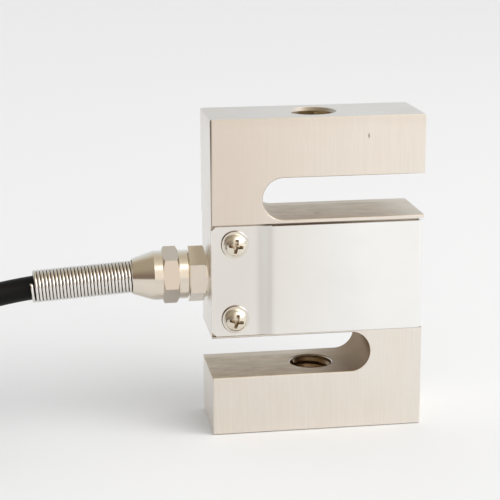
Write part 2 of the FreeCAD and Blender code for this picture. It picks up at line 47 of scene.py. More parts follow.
SIDE_SKIN = -0.02535            # what lies left of this is the side face that the gland is on
BLOCK_IN = 0.0253               # just inside both side faces
DEEP = 0.00947                  # just inside the front and back faces
UPPER_SLOT = (0.0521, 0.0623)   # heights of the two slots and of the recess under the cover
LOWER_SLOT = (0.0141, 0.0242)
RECESS = (0.0244, 0.0514)
UPPER_BLIND = -0.0136           # the slots' blind ends
LOWER_BLIND = 0.0131
CRISP = 0.00005                 # margin of a mask that ends at an edge
COVER_STEP = (-0.0134, -0.0119)     # where the cover steps outward
UPPER_HOLE = (0.0623, 0.0755)   # and of the walls of the two mounting holes
LOWER_HOLE = (0.0008, 0.0141)
SINK = (0.0753, 0.07612)
HOLE_R = 0.00515
SINK_R = 0.00585
MIDDLE = 0.04                   # a height between the two holes
SCREW_X = -0.01982
SCREW_HEIGHTS = (0.02865, 0.04675)
CROWN_MIDDLE = 0.007475         # depth of the middle that a screw head's crown is turned round
CROSS_R = 0.00178               # reach of its cross recess
GLAND_HEIGHT = 0.03775
CAP_HEXAGON = (-0.0362, -0.0325)


# --- Camera ---------------------------------------------------------------------------------------

def place_camera():
    data = bpy.data.cameras.new("camera")
    data.sensor_width = 36.0
    data.lens = 109.21
    data.clip_start = 0.01
    data.clip_end = 20.0
    camera = bpy.data.objects.new("camera", data)
    SCENE.collection.objects.link(camera)
    camera.location = (-0.067309, -0.349135, 0.13159)
    camera.rotation_euler = (1.324794, 0.005257, -0.150343)
    SCENE.camera = camera


place_camera()


# --- The lead -------------------------------------------------------------------------------------

CABLE_R = 2.8
CABLE = 2 * CABLE_R
ROUTE = [
    (-48.0, 0.0, 37.44),
    (-60.5, 0.0, 36.8),
    (-73.5, -0.2, 35.25),
    (-85.0, -4.0, 33.3),
    (-96.0, -11.3, 32.1),
    (-107.5, -18.2, 30.9),
]
HANK_X = -153.2
LAYERS = 6
TIE_LIFT = 1.2                  # the tie's strap passes under the turns at the waist
TIE_REACH = 24.0                # and lifts them this far along, to each side of it
# A quarter of a turn in each column, from the waist out: along the hank, and across it.
OUTER = [(7.7, 8.4), (20.6, 20.2), (32.8, 23.2), (44.5, 18.5), (51.4, 7.9)]
INNER = [(7.5, 2.8), (18.4, 14.5), (29.3, 17.7), (39.6, 14.2), (45.8, 5.4)]
INWARD = (0.15, 0.55, 0.9, 1.0, 1.0)    # share by which a turn has passed from one to the other
TAIL = [(-160.5, -2.6, 31.9), (-167.5, -1.0, 31.2), (-174.0, 0.0, 30.8)]


def layer_height(layer, out):
    """Height of a turn's middle, which the tie's strap lifts a little at the waist."""
    return CABLE_R + CABLE * layer + TIE_LIFT * max(0.0, 1.0 - out / TIE_REACH)


def quarter(column, side, up, layer, rise=0.0, rise_from=0, rise_over=5):
    """From the waist to an end of the hank; the turn may pass to another layer on its way."""
    points = []
    for step, (out, wide) in enumerate(column):
        share = min(1.0, max(0.0, (step + 0.5 - rise_from) / rise_over))
        height = layer_height(layer + rise * share, out)
        points.append((HANK_X + side * out, up * wide, height))
    return points


def inward_quarter():
    """The lowest outer turn passes in beside it, onto the inner column."""
    points = []
    for (out_a, wide_a), (out_b, wide_b), share in zip(OUTER, INNER, INWARD):
        out = out_a + (out_b - out_a) * share
        wide = wide_a + (wide_b - wide_a) * share
        points.append((HANK_X + out, wide, layer_height(0, out)))
    return points


def hank_points():
    """The turns, down the outer column and then up the inner one."""
    points = []
    for layer in reversed(range(LAYERS)):
        first = OUTER[:3] if layer == LAYERS - 1 else OUTER
        points += quarter(first, 1, -1, layer)[::-1]
        points += quarter(OUTER, -1, -1, layer)
        points += quarter(OUTER, -1, 1, layer)[::-1]
        if layer:
            points += quarter(OUTER, 1, 1, layer, -1.0, 2, 3)
        else:
            points += inward_quarter()
    for layer in range(LAYERS - 1):
        points += quarter(INNER, 1, -1, layer)[::-1]
        points += quarter(INNER, -1, -1, layer)
        points += quarter(INNER, -1, 1, layer)[::-1]
        points += quarter(INNER, 1, 1, layer, 1.0, 0, 3)
    points += quarter(INNER, 1, -1, LAYERS - 1)[::-1]
    return points


def make_lead():
    curve = bpy.data.curves.new("lead", "CURVE")
    curve.dimensions = "3D"
    curve.bevel_depth = 1.0     # a metre, times each point's radius, which the curve's box counts
    curve.bevel_resolution = 8
    curve.resolution_u = 6
    curve.use_fill_caps = True
    points = ROUTE + hank_points() + TAIL
    spline = curve.splines.new("NURBS")
    spline.points.add(len(points) - 1)
    for point, place in zip(spline.points, points):
        point.co = (*(value * MM for value in place), 1.0)
        point.radius = CABLE_R * MM
    spline.order_u = 3
    spline.use_endpoint_u = True
    spline.use_smooth = True
    lead = bpy.data.objects.new("lead", curve)
    SCENE.collection.objects.link(lead)
    return lead


LEAD = make_lead()
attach(LEAD, "root")
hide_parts("cable_lead", "cable_hank")


# --- Node helpers ---------------------------------------------------------------------------------

class Net:
    """A node tree, with short calls for the nodes that the finishes are made of."""

    def __init__(self, tree):
        self.tree = tree

    def node(self, kind, **settings):
        made = self.tree.nodes.new("ShaderNode" + kind)
        for name, value in settings.items():
            setattr(made, name, value)
        return made

    def feed(self, socket, value):
        if isinstance(value, bpy.types.NodeSocket):
            self.tree.links.new(value, socket)
        else:
            socket.default_value = value

    def filled(self, made, values):
        for socket, value in zip(made.inputs, values):
            self.feed(socket, value)
        return made.outputs[0]

    def calc(self, operation, *values):
        return self.filled(self.node("Math", operation=operation), values)

    def times(self, first, *others):
        for other in others:
            first = self.calc("MULTIPLY", first, other)
        return first

    def added(self, value, factor, base):
        """The value times the factor, on top of the base."""
        return self.calc("MULTIPLY_ADD", value, factor, base)

    def scaled(self, vector, factors):
        return self.filled(self.node("VectorMath", operation="MULTIPLY"), (vector, factors))

    def seen_from(self, centre, vector):
        return self.filled(self.node("VectorMath", operation="SUBTRACT"), (vector, centre))

    def length(self, vector):
        made = self.node("VectorMath", operation="LENGTH")
        self.feed(made.inputs[0], vector)
        return made.outputs["Value"]

    def apart(self, vector):
        made = self.node("SeparateXYZ")
        self.feed(made.inputs[0], vector)
        return made.outputs

    def joined(self, x, y, z):
        return self.filled(self.node("CombineXYZ"), (x, y, z))

    def noise(self, vector, scale, detail, roughness=0.5):
        made = self.node("TexNoise")
        self.feed(made.inputs["Vector"], vector)
        self.feed(made.inputs["Scale"], scale)
        self.feed(made.inputs["Detail"], detail)
        self.feed(made.inputs["Roughness"], roughness)
        return made.outputs[0]

    def ease(self, value, low, high, start=0.0, end=1.0):
        """Goes smoothly from start to end while the value goes from low to high."""
        made = self.node("MapRange", interpolation_type="SMOOTHSTEP")
        return self.filled(made, (value, low, high, start, end))

    def blend(self, factor, first, second):
        made = self.node("Mix", data_type="RGBA")
        for name, value in (("Factor_Float", factor), ("A_Color", first), ("B_Color", second)):
            socket = next(i for i in made.inputs if i.identifier == name)
            self.feed(socket, (*value, 1.0) if isinstance(value, tuple) else value)
        return next(o for o in made.outputs if o.identifier == "Result_Color")

    def ramp(self, value, stops):
        made = self.node("ValToRGB")
        self.feed(made.inputs[0], value)
        elements = made.color_ramp.elements
        while len(elements) < len(stops):
            elements.new(0.5)
        for element, (place, colour) in zip(elements, stops):
            element.position = place
            element.color = (*colour, 1.0)
        return made.outputs[0]

    def bump(self, height, distance, strength, normal=None):
        made = self.node("Bump")
        self.feed(made.inputs["Height"], height)
        self.feed(made.inputs["Distance"], distance)
        self.feed(made.inputs["Strength"], strength)
        if normal is not None:
            self.feed(made.inputs["Normal"], normal)
        return made.outputs[0]

    def use(self, group, **values):
        made = self.node("Group", node_tree=group)
        for name, value in values.items():
            self.feed(made.inputs[name], value)
        return made.outputs


def open_group(name, inputs, outputs):
    tree = bpy.data.node_groups.new(name, "ShaderNodeTree")
    for label, kind in inputs:
        tree.interface.new_socket(label, in_out="INPUT", socket_type="NodeSocket" + kind)
    for label, kind in outputs:
        tree.interface.new_socket(label, in_out="OUTPUT", socket_type="NodeSocket" + kind)
    entry = tree.nodes.new("NodeGroupInput")
    leave = tree.nodes.new("NodeGroupOutput")
    return Net(tree), entry.outputs, leave.inputs


def ground_grain_group():
    """Fine parallel grinding lines: along Z on upright faces and along X on level ones."""
    net, given, result = open_group(
        "ground_grain", [("Position", "Vector"), ("Normal", "Vector")], [("Grain", "Float")]
    )
    place = given["Position"]
    fine = net.noise(net.scaled(place, (5200.0, 5200.0, 90.0)), 1.0, 3.0)
    broad = net.noise(net.scaled(place, (2000.0, 2000.0, 90.0)), 1.0, 4.0, 0.65)
    upright = net.added(broad, 0.45, net.times(fine, 0.55))
    level = net.noise(net.scaled(place, (110.0, 5200.0, 110.0)), 1.0, 3.0)
    facing_up = net.calc("ABSOLUTE", net.apart(given["Normal"])[2])
    share = net.ease(facing_up, 0.6, 0.8)
    rest = net.times(upright, net.calc("SUBTRACT", 1.0, share))
    net.feed(result["Grain"], net.added(level, share, rest))
    return net.tree


def handling_group():
    """Cloudy handling marks and a few fine stray scratches."""
    net, given, result = open_group(
        "handling_marks", [("Position", "Vector")], [("Cloud", "Float"), ("Scratch", "Float")]
    )
    place = given["Position"]
    cloud = net.noise(place, 90.0, 4.0, 0.6)
    net.feed(result["Cloud"], net.ease(cloud, 0.35, 0.75))
    wave = net.noise(net.scaled(place, (900.0, 260.0, 1500.0)), 1.0, 1.0)
    near = net.calc("ABSOLUTE", net.calc("SUBTRACT", wave, 0.5))
    line = net.ease(near, 0.0, 0.006, 1.0, 0.0)
    patch = net.ease(net.noise(place, 160.0, 1.0), 0.56, 0.66)
    net.feed(result["Scratch"], net.times(line, patch))
    return net.tree


def turned_group():
    """Lathe lines round a piece whose axis is the gland's."""
    net, given, result = open_group(
        "turned_lines", [("Position", "Vector")], [("Lines", "Float")]
    )
    x, y, z = net.apart(given["Position"])
    radius = net.length(net.joined(0.0, y, net.calc("SUBTRACT", z, GLAND_HEIGHT)))
    place = net.scaled(net.joined(x, radius, 0.0), (6000.0, 6000.0, 0.0))
    net.feed(result["Lines"], net.noise(place, 1.0, 2.0))
    return net.tree


GRAIN = ground_grain_group()
HANDLING = handling_group()
TURNED = turned_group()


def finish_of(name, colour, metallic, roughness, **uniform):
    """A material, its net, its Principled shader's sockets, and its object coordinates."""
    material = bpy.data.materials.new(name)
    material.use_nodes = True
    net = Net(material.node_tree)
    shader = material.node_tree.nodes["Principled BSDF"]
    shader.inputs["Base Color"].default_value = (*colour, 1.0)
    shader.inputs["Metallic"].default_value = metallic
    shader.inputs["Roughness"].default_value = roughness
    for key, value in uniform.items():
        shader.inputs[key.replace("_", " ")].default_value = value
    return material, net, shader.inputs, net.node("TexCoord").outputs["Object"]


# --- Masks ----------------------------------------------------------------------------------------

def near_point(net, place, centre, size):
    """1 at a point, falling to 0 at an ellipsoid of the given half sizes round it."""
    fitted = net.scaled(net.seen_from(centre, place), tuple(1.0 / half for half in size))
    return net.ease(net.length(fitted), 0.0, 1.0, 1.0, 0.0)


def within(net, value, low, high, soft):
    """1 between two values, falling to 0 over a soft margin outside them."""
    rise = net.ease(value, low - soft, low)
    return net.times(rise, net.ease(value, high, high + soft, 1.0, 0.0))


def slot_masks(net, place):
    """1 on the milled walls of the upper slot, on those of the lower one, and in the joint under
    the cover, where shade is painted.
    """
    x, y, z = net.apart(place)
    deep = net.calc("LESS_THAN", net.calc("ABSOLUTE", y), DEEP)
    upper = net.calc("GREATER_THAN", x, UPPER_BLIND)
    upper = net.times(upper, within(net, z, *UPPER_SLOT, CRISP))
    lower = net.calc("LESS_THAN", x, LOWER_BLIND)
    lower = net.times(lower, within(net, z, *LOWER_SLOT, CRISP))
    under = net.calc("LESS_THAN", net.calc("ABSOLUTE", x), BLOCK_IN)
    under = net.times(under, within(net, z, *RECESS, CRISP))
    return [net.times(deep, mask) for mask in (upper, lower, under)]


def near_axis(net, place, radius):
    """1 within a radius of the mounting holes' upright axis."""
    return net.calc("LESS_THAN", net.length(net.scaled(place, (1.0, 1.0, 0.0))), radius)


def hole_mask(net, place):
    """1 on the walls of the two mounting holes."""
    z = net.apart(place)[2]
    walls = [within(net, z, *span, 0.0001) for span in (LOWER_HOLE, UPPER_HOLE)]
    return net.times(net.calc("ADD", *walls), near_axis(net, place, HOLE_R))


def sink_mask(net, place):
    """1 on the upper thread's countersink."""
    level = within(net, net.apart(place)[2], *SINK, 0.00003)
    return net.times(near_axis(net, place, SINK_R), level)


def lit_side_mask(net, place):
    """1 on the left of the upper hole, where its threads are lit by painted light."""
    x, _, z = net.apart(place)
    left = net.ease(x, -0.0038, -0.0018, 1.0, 0.0)
    return net.times(left, net.calc("GREATER_THAN", z, MIDDLE))


def edge_shade_mask(net, place):
    """The upright front edge beside the gland, where a dark line of shade is painted, darkest at
    its top.
    """
    x, y, z = net.apart(place)
    side = net.ease(x, -0.02515, -0.02485, 1.0, 0.0)
    front = net.ease(y, -0.0093, -0.0091, 1.0, 0.0)
    return net.times(net.ease(z, 0.056, 0.0745, 0.05, 0.78), side, front)


# --- Finishes of the block and its cover ----------------------------------------------------------

# painted light on the lit left of the upper hole's threads, and painted shade on the hole walls
LIT_THREAD = (0.86, 0.82, 0.74)
HOLE_SHADE = (0.3, 0.22, 0.13)
NICK = ((0.0117, -0.00953, 0.0715), (0.00036, 0.001, 0.0009))   # its middle and its half sizes
DENT = ((0.0006, -0.0035, 0.0522), (0.0012, 0.0012, 0.001))
# painted shadow in the gap above the cover's step: its middle and its half sizes
STEP_GAP_SHADOW = ((-0.0126, -0.0095, 0.0512), (0.002, 0.003, 0.0005))


def ground_tone(net, place, grain, cloud):
    """Ground faces, warmer toward the gland, and paler on the side face that it is on, where light
    is painted.
    """
    x, _, z = net.apart(place)
    toned = net.blend(grain, (0.70, 0.65, 0.595), (0.89, 0.845, 0.79))
    toned = net.blend(net.times(cloud, 0.35), toned, (0.78, 0.70, 0.62))
    warm = net.times(net.ease(x, -0.027, 0.012, 0.55, 0.0), net.ease(z, 0.012, 0.05))
    warm = net.times(warm, net.calc("GREATER_THAN", x, SIDE_SKIN))
    toned = net.blend(warm, toned, (0.70, 0.62, 0.55))
    # painted light: the side face with the gland is made paler
    side_light = net.times(net.calc("LESS_THAN", x, SIDE_SKIN), 0.5)
    toned = net.blend(side_light, toned, (0.90, 0.87, 0.83))
    rim = net.ease(z, 0.0735, 0.0755, 0.0, 0.2)
    return net.blend(rim, toned, (0.68, 0.61, 0.54))


def slot_tone(net, place, toned, upper, lower, under):
    """Streaky milled walls in painted shade, lighter toward the back and the upper slot's open end,
    darkest deep in the lower slot; and a painted shadow in the cover's joint.
    """
    x, y, _ = net.apart(place)
    streaks = net.noise(net.scaled(place, (150.0, 420.0, 420.0)), 1.0, 4.0, 0.65)
    # painted shade: the milled walls' dark colours stand in for the shade inside the slots
    milled = net.blend(net.ease(streaks, 0.3, 0.7), (0.51, 0.415, 0.31), (0.64, 0.545, 0.43))
    milled = net.blend(net.ease(y, 0.0061, 0.0069, 0.0, 0.45), milled, (0.80, 0.73, 0.65))
    toned = net.blend(net.times(upper, net.ease(x, 0.015, 0.024, 0.88, 0.35)), toned, milled)
    # painted shade, deepening toward the lower slot's blind end
    deep_lower_shade = net.blend(net.ease(x, -0.006, 0.0135), milled, (0.29, 0.19, 0.10))
    toned = net.blend(lower, toned, deep_lower_shade)
    # painted shadow in the joint along the cover's top edge
    joint_shadow = net.times(net.ease(x, -0.0145, -0.0105, 0.3, 0.85), net.ease(x, 0.0, 0.021, 1.0, 0.4))
    return net.blend(net.times(under, joint_shadow), toned, (0.12, 0.085, 0.05))


def hole_tone(net, place, toned):
    """Painted shade on the hole walls, with painted light on the upper one's left, and a
    countersink with painted shade on its right and at its foot.
    """
    x, _, z = net.apart(place)
    # painted shade on the hole walls, painted light on the upper hole's left
    wall = net.blend(lit_side_mask(net, place), HOLE_SHADE, LIT_THREAD)
    toned = net.blend(hole_mask(net, place), toned, wall)
    sink = sink_mask(net, place)
    # painted shade on the countersink's right
    worn = net.times(sink, net.ease(x, -0.0032, 0.0002, 0.0, 0.8))
    toned = net.blend(worn, toned, (0.36, 0.29, 0.21))
    # painted shade at the countersink's foot
    foot = net.times(sink, net.ease(z, 0.0754, 0.07555, 0.8, 0.0))
    return net.blend(foot, toned, (0.22, 0.16, 0.1))


def ground_nickel():
    """Satin nickel over ground steel."""
    colour = (0.81, 0.75, 0.675)
    material, net, shader, place = finish_of("ground_nickel", colour, 1.0, 0.36)
    normal = net.node("TexCoord").outputs["Normal"]
    grain = net.use(GRAIN, Position=place, Normal=normal)["Grain"]
    marks = net.use(HANDLING, Position=place)
    nick = near_point(net, place, *NICK)
    dent = near_point(net, place, *DENT)
    upper, lower, under = slot_masks(net, place)
    toned = ground_tone(net, place, grain, marks["Cloud"])
    toned = slot_tone(net, place, toned, upper, lower, under)
    toned = hole_tone(net, place, toned)
    # painted shade: a dark line along the front edge beside the gland
    toned = net.blend(edge_shade_mask(net, place), toned, (0.2, 0.15, 0.1))
    toned = net.blend(net.times(nick, 0.85), toned, (0.22, 0.18, 0.14))
    toned = net.blend(net.times(dent, 0.6), toned, (0.25, 0.2, 0.15))
    net.feed(shader["Base Color"], toned)
    rough = net.added(grain, 0.12, 0.31)
    rough = net.added(net.calc("ADD", upper, lower), 0.12, rough)
    net.feed(shader["Roughness"], net.added(marks["Cloud"], 0.05, rough))
    height = net.added(marks["Scratch"], -0.3, grain)
    height = net.added(nick, -12.0, height)
    height = net.added(dent, -6.0, height)
    net.feed(shader["Normal"], net.bump(height, 0.00001, 0.6))
    return material


def polished_sheet():
    """The cover's bright sheet, with painted shade where it steps outward and a painted shadow at
    the step's top edge, and not quite flat.
    """
    colour = (0.88, 0.865, 0.84)
    material, net, shader, place = finish_of("polished_sheet", colour, 1.0, 0.1)
    marks = net.use(HANDLING, Position=place)
    fine = net.noise(net.scaled(place, (9000.0, 9000.0, 150.0)), 1.0, 2.0)
    toned = net.blend(marks["Cloud"], (0.885, 0.87, 0.845), (0.86, 0.845, 0.82))
    # painted shade greys the band where the sheet steps outward
    step = within(net, net.apart(place)[0], *COVER_STEP, 0.0021)
    toned = net.blend(net.times(step, 0.95), toned, (0.735, 0.72, 0.695))
    # painted shadow in the gap at the top of the cover's step
    gap_shadow = near_point(net, place, *STEP_GAP_SHADOW)
    toned = net.blend(net.times(gap_shadow, 0.8), toned, (0.2, 0.16, 0.12))
    net.feed(shader["Base Color"], toned)
    rough = net.added(fine, 0.05, 0.07)
    net.feed(shader["Roughness"], net.added(marks["Cloud"], 0.05, rough))
    rolled = net.bump(net.noise(place, 45.0, 1.0), 0.00004, 0.35)
    net.feed(shader["Normal"], net.bump(fine, 0.000004, 0.4, rolled))
    return material


# --- Finishes of the plated pieces ----------------------------------------------------------------

def plated(name, colour, deep, roughness, lines=0.1, tone=None):
    """Bright plating with faint turning lines and a duller tone where hands and tools touch."""
    material, net, shader, place = finish_of(name, colour, 1.0, roughness)
    turned = net.use(TURNED, Position=place)["Lines"]
    marks = net.use(HANDLING, Position=place)
    toned = net.blend(marks["Cloud"], colour, deep)
    if tone is not None:
        toned = tone(net, place, toned)
    net.feed(shader["Base Color"], toned)
    rough = net.added(turned, 0.06, roughness - 0.03)
    net.feed(shader["Roughness"], net.added(marks["Cloud"], 0.05, rough))
    height = net.added(marks["Scratch"], -0.5, turned)
    net.feed(shader["Normal"], net.bump(height, 0.000006, lines))
    return material


def recess_tone(net, place, toned):
    """Painted shade down inside the screws' cross recesses, below the heads' crowns."""
    x, y, z = net.apart(place)
    across = net.calc("SUBTRACT", x, SCREW_X)
    rises = [net.calc("ABSOLUTE", net.calc("SUBTRACT", z, at)) for at in SCREW_HEIGHTS]
    along = net.calc("MINIMUM", *rises)
    out = net.calc("SUBTRACT", net.calc("ABSOLUTE", y), CROWN_MIDDLE)
    from_crown = net.length(net.joined(across, along, out))
    from_axis = net.length(net.joined(across, along, 0.0))
    inside = net.ease(from_crown, 0.00426, 0.00434, 1.0, 0.0)
    inside = net.times(inside, net.calc("LESS_THAN", from_axis, CROSS_R))
    worn = net.ease(net.noise(place, 1400.0, 2.0), 0.5, 0.68)
    # painted shade in the cross recesses, patchy
    deep = net.blend(worn, (0.48, 0.385, 0.27), (0.86, 0.81, 0.73))
    return net.blend(inside, toned, deep)


def rim_tone(net, place, toned):
    """The cover washers' outer edge, with painted shade on its upper left."""
    x, _, z = net.apart(place)
    across = net.calc("SUBTRACT", x, SCREW_X)
    low, high = SCREW_HEIGHTS
    is_low = net.calc("LESS_THAN", z, (low + high) / 2)
    along = net.calc("SUBTRACT", z, net.added(is_low, low - high, high))
    rim = net.ease(net.length(net.joined(across, along, 0.0)), 0.0031, 0.00318)
    lean = net.added(across, -0.85, net.times(along, 0.5))
    # painted shade on the washers' upper left edge
    return net.blend(net.times(rim, net.ease(lean, 0.0, 0.0016)), toned, (0.22, 0.17, 0.12))


def hexagon_tone(net, place, toned):
    """The cap nut's hexagon is a little duller than its turned parts."""
    flats = within(net, net.apart(place)[0], *CAP_HEXAGON, 0.0001)
    return net.blend(net.times(flats, 0.9), toned, (0.67, 0.60, 0.54))


def thread_tone(net, place, toned):
    """Painted shade in the threads, but for painted light on the left of the upper one."""
    return net.blend(lit_side_mask(net, place), toned, LIT_THREAD)


COIL_R = 3.5                    # of the spring relief, to the middle of its wire
WIRE_R = 0.4
COIL_START = (-42.4, 0.0, 37.72)
DROOP = math.radians(3.4)       # below the level, away from the gland


def valley_tone(net, place, toned):
    """Painted shade between the spring's turns and on its upper side."""
    x, y, z = net.apart(place)
    slope = math.tan(DROOP)
    axis = net.added(x, slope, (COIL_START[2] - COIL_START[0] * slope) * MM)
    height = net.calc("SUBTRACT", z, axis)
    radius = net.length(net.joined(0.0, y, height))
    # painted shade between the turns
    valley_shade = net.ease(radius, (COIL_R + 0.16) * MM, (COIL_R + 0.29) * MM, 1.0, 0.0)
    # painted shade on the coil's upper side
    upper = net.ease(height, 0.0012, 0.0028, 0.0, 0.6)
    toned = net.blend(upper, toned, (0.62, 0.54, 0.46))
    return net.blend(valley_shade, toned, (0.17, 0.14, 0.12))


# --- Finishes of the lead and the inner pieces ----------------------------------------------------

def cable_jacket():
    """Black jacket with a faint drawn skin and a little dust."""
    material, net, shader, place = finish_of(
        "cable_jacket", (0.004, 0.004, 0.004), 0.0, 0.5, Specular_IOR_Level=0.14
    )
    skin = net.noise(net.scaled(place, (900.0, 2600.0, 2600.0)), 1.0, 3.0)
    dust = net.times(net.ease(net.noise(place, 300.0, 5.0, 0.7), 0.55, 0.8), 0.35)
    toned = net.blend(dust, (0.0035, 0.0034, 0.0033), (0.012, 0.0115, 0.011))
    net.feed(shader["Base Color"], toned)
    net.feed(shader["Roughness"], net.added(skin, 0.16, 0.4))
    net.feed(shader["Normal"], net.bump(skin, 0.00003, 0.35))
    return material


def moulded(name, colour, shade, roughness):
    """Plastic, rubber or resin with a fine moulded skin."""
    material, net, shader, place = finish_of(name, colour, 0.0, roughness)
    skin = net.noise(place, 1800.0, 3.0)
    cloud = net.noise(place, 260.0, 3.0)
    net.feed(shader["Base Color"], net.blend(net.ease(cloud, 0.35, 0.7), colour, shade))
    net.feed(shader["Roughness"], net.added(skin, 0.14, roughness - 0.07))
    net.feed(shader["Normal"], net.bump(skin, 0.00002, 0.3))
    return material


def core_finish(name, colour, metallic=0.0, bare_x=None):
    """Coloured insulation, bare past bare_x where that is given, or a wire of tinned strands."""
    material, net, shader, place = finish_of(name, colour, metallic, 0.4)
    skin = net.noise(place, 2500.0, 2.0)
    strands = net.noise(net.scaled(place, (700.0, 9000.0, 9000.0)), 1.0, 2.0)
    tinned = net.blend(strands, (0.78, 0.76, 0.72), (0.5, 0.48, 0.45))
    toned = tinned if metallic else net.blend(skin, colour, tuple(0.8 * c for c in colour))
    if bare_x is not None:
        bare = net.calc("LESS_THAN", net.apart(place)[0], bare_x)
        toned = net.blend(bare, toned, tinned)
        net.feed(shader["Metallic"], bare)
    net.feed(shader["Base Color"], toned)
    net.feed(shader["Roughness"], net.added(skin, 0.1, 0.33))
    net.feed(shader["Normal"], net.bump(strands, 0.00003, 0.3))
    return material


def dress(names, material):
    for name in names:
        for slot in NODES[name].material_slots:
            slot.material = material


FINISHES = {
    "nickel": ground_nickel(),
    "sheet": polished_sheet(),
    "screw": plated(
        "screw_plating", (0.83, 0.785, 0.70), (0.75, 0.69, 0.59), 0.2, tone=recess_tone
    ),
    "washer": plated(
        "washer_plating", (0.83, 0.80, 0.745), (0.79, 0.75, 0.69), 0.16, tone=rim_tone
    ),
    "gland": plated(
        "gland_plating", (0.80, 0.735, 0.65), (0.77, 0.70, 0.61), 0.13, 0.3, hexagon_tone
    ),
    # the threads' dark colours are painted shade inside the holes
    "thread": plated(
        "thread_plating", (0.36, 0.27, 0.17), (0.27, 0.2, 0.12), 0.25, tone=thread_tone
    ),
    "spring": plated(
        "spring_plating", (0.87, 0.845, 0.82), (0.82, 0.795, 0.76), 0.24, tone=valley_tone
    ),
    "jacket": cable_jacket(),
    "tie": moulded("tie_nylon", (0.02, 0.02, 0.021), (0.03, 0.03, 0.03), 0.38),
    "rubber": moulded("sleeve_rubber", (0.02, 0.02, 0.02), (0.035, 0.034, 0.033), 0.7),
    "foil": moulded("gauge_film", (0.55, 0.33, 0.12), (0.48, 0.28, 0.1), 0.35),
    "board": moulded("board_laminate", (0.05, 0.2, 0.09), (0.04, 0.17, 0.07), 0.45),
    "silicone": moulded("potting_silicone", (0.72, 0.72, 0.7), (0.66, 0.66, 0.63), 0.42),
}

dress(["spring_element"], FINISHES["nickel"])
dress(["wrap_cover"], FINISHES["sheet"])
for number in range(1, 5):
    dress(["cover_screw_%d" % number], FINISHES["screw"])
    dress(["cover_washer_%d" % number], FINISHES["washer"])
    dress(["strain_gauge_%d" % number], FINISHES["foil"])
dress(["terminal_board"], FINISHES["board"])
dress(["front_potting", "back_potting"], FINISHES["silicone"])
dress(["gland_seat", "gland_body", "gland_cap", "slip_washer"], FINISHES["gland"])
dress(["grip_sleeve"], FINISHES["rubber"])
dress(["inner_cable"], FINISHES["jacket"])
dress(["hank_tie"], FINISHES["tie"])
LEAD.data.materials.append(FINISHES["jacket"])

CORE_COLOURS = {
    "core_red": (0.5, 0.02, 0.018),
    "core_black": (0.014, 0.014, 0.014),
    "core_green": (0.02, 0.24, 0.06),
    "core_white": (0.78, 0.77, 0.74),
}
BARE_X = -0.195
for number, (name, colour) in enumerate(CORE_COLOURS.items(), start=1):
    dress([name], core_finish(name + "_insulation", colour, bare_x=BARE_X))
    dress(["core_lead_%d" % number], core_finish("lead_%d_insulation" % number, colour))
dress(["drain_wire"], core_finish("drain_strands", (0.7, 0.68, 0.65), 1.0))


# --- Threads --------------------------------------------------------------------------------------

THREAD_R = 5.1
THREAD_PITCH = 1.75
THREAD_STEPS = 48
THREAD_CREST = 0.5              # how far the ridge's crest stands in, and half its width
CREST_HALF = 0.12
ROOT_IN = 0.02                  # how far its foot stands in, and what it leaves of half a pitch
ROOT_GAP = 0.04
UPPER_THREAD = (62.7, 75.3)     # heights of the ridges' ends
LOWER_THREAD = (0.9, 13.85)


def add_piece(name, shape, material):
    mesh = bpy.data.meshes.new(name)
    shape.to_mesh(mesh)
    shape.free()
    mesh.materials.append(material)
    piece = bpy.data.objects.new(name, mesh)
    SCENE.collection.objects.link(piece)
    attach(piece, "root")
    return piece


def wind(shape, section, turns, pitch, steps_a_turn):
    """Winds a section on round +Z, and returns the section it ends with."""
    steps = int(turns * steps_a_turn)
    rise = turns * pitch * MM / steps
    wound = bmesh.ops.spin(
        shape, geom=section, cent=(0, 0, 0), axis=(0, 0, 1), dvec=(0, 0, rise),
        angle=turns * 2 * math.pi, steps=steps,
    )
    return wound["geom_last"]


def thread_ridge(name, low, high):
    """The thread's ridge, wound up inside a hole from its low to its high end."""
    half = THREAD_PITCH / 2
    foot = half - ROOT_GAP
    profile = [
        (ROOT_IN, -foot), (THREAD_CREST, -CREST_HALF), (THREAD_CREST, CREST_HALF), (ROOT_IN, foot),
    ]
    shape = bmesh.new()
    corners = []
    for inward, rise in profile:
        spot = (THREAD_R - inward, 0.0, low + half + rise)
        corners.append(shape.verts.new([value * MM for value in spot]))
    face = shape.faces.new(corners)
    turns = (high - low) / THREAD_PITCH - 1.0
    wind(shape, [face, *face.edges, *face.verts], turns, THREAD_PITCH, THREAD_STEPS)
    bmesh.ops.holes_fill(shape, edges=[e for e in shape.edges if e.is_boundary], sides=0)
    bmesh.ops.recalc_face_normals(shape, faces=shape.faces)
    add_piece(name, shape, FINISHES["thread"])


thread_ridge("upper_thread", *UPPER_THREAD)
thread_ridge("lower_thread", *LOWER_THREAD)


# --- Spring relief --------------------------------------------------------------------------------

PITCH = 0.812
COIL_TURNS = 28.75
COIL_STEPS = 40
COIL_FOOT = 0.628               # the wire's middle starts this far along the coil's axis
LAST_TURN = 0.57                # the part of a turn at the end that is opened
LAST_OPENING = 0.45             # and what that adds to its pitch


